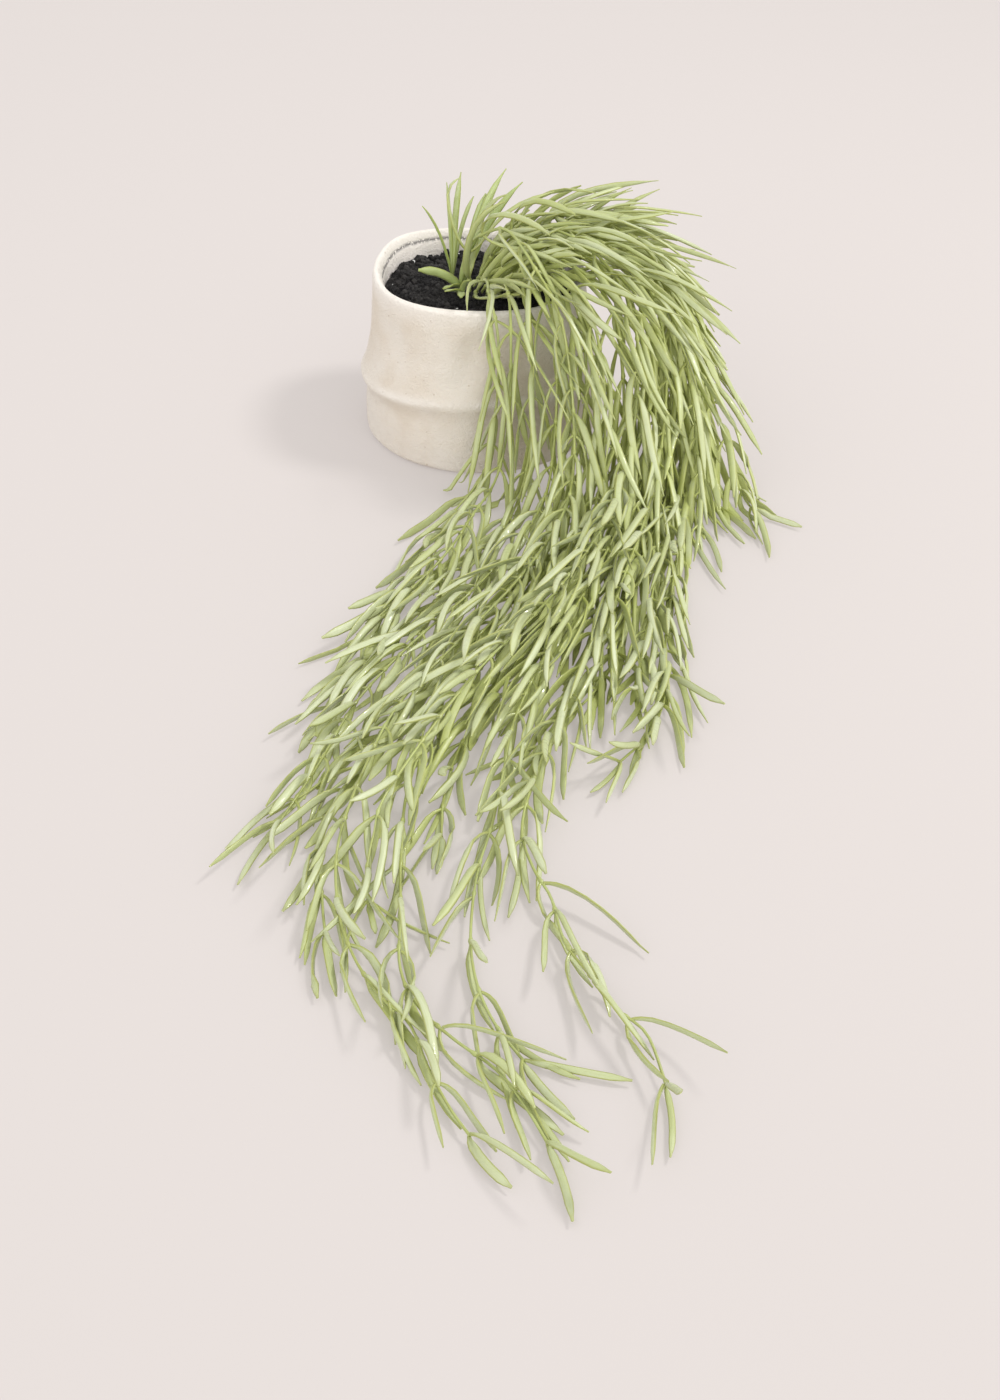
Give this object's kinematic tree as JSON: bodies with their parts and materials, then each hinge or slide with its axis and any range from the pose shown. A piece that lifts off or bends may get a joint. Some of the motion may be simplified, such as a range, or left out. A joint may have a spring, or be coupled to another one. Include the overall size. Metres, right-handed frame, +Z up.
{
  "type": "potted trailing plant",
  "caption": "Hand-formed ceramic pot of dark soil with leafy trailing stems that arch over the lip and lie along the surface in front of it.",
  "frame": {"origin": "middle of the pot's flat base, on the surface it stands on", "axes": "+Z up, +Y from the trailing tips towards the pot and beyond its back, +X to the right when looking along +Y, the side the foliage arches out on"},
  "size_m": [0.2471, 0.5567, 0.125],
  "materials": {
    "pot": "matte",
    "soil": "matte",
    "foliage": "satin",
    "young_foliage": "satin"
  },
  "bodies": {
    "root": {"pot": "pot", "soil": "soil", "trailing_stem_01": "foliage", "trailing_stem_02": "foliage", "trailing_stem_03": "foliage", "trailing_stem_04": "foliage", "trailing_stem_05": "foliage", "trailing_stem_06": "foliage", "trailing_stem_07": "foliage", "trailing_stem_08": "foliage", "trailing_stem_09": "foliage", "trailing_stem_10": "foliage", "trailing_stem_11": "foliage", "trailing_stem_12": "foliage", "trailing_stem_13": "foliage", "trailing_stem_14": "foliage", "trailing_stem_15": "foliage", "trailing_stem_16": "foliage", "trailing_stem_17": "foliage", "trailing_stem_18": "foliage", "trailing_stem_19": "foliage", "young_shoot_1": "young_foliage", "young_shoot_2": "young_foliage", "young_shoot_3": "young_foliage", "young_shoot_4": "young_foliage"}
  },
  "joints": []
}
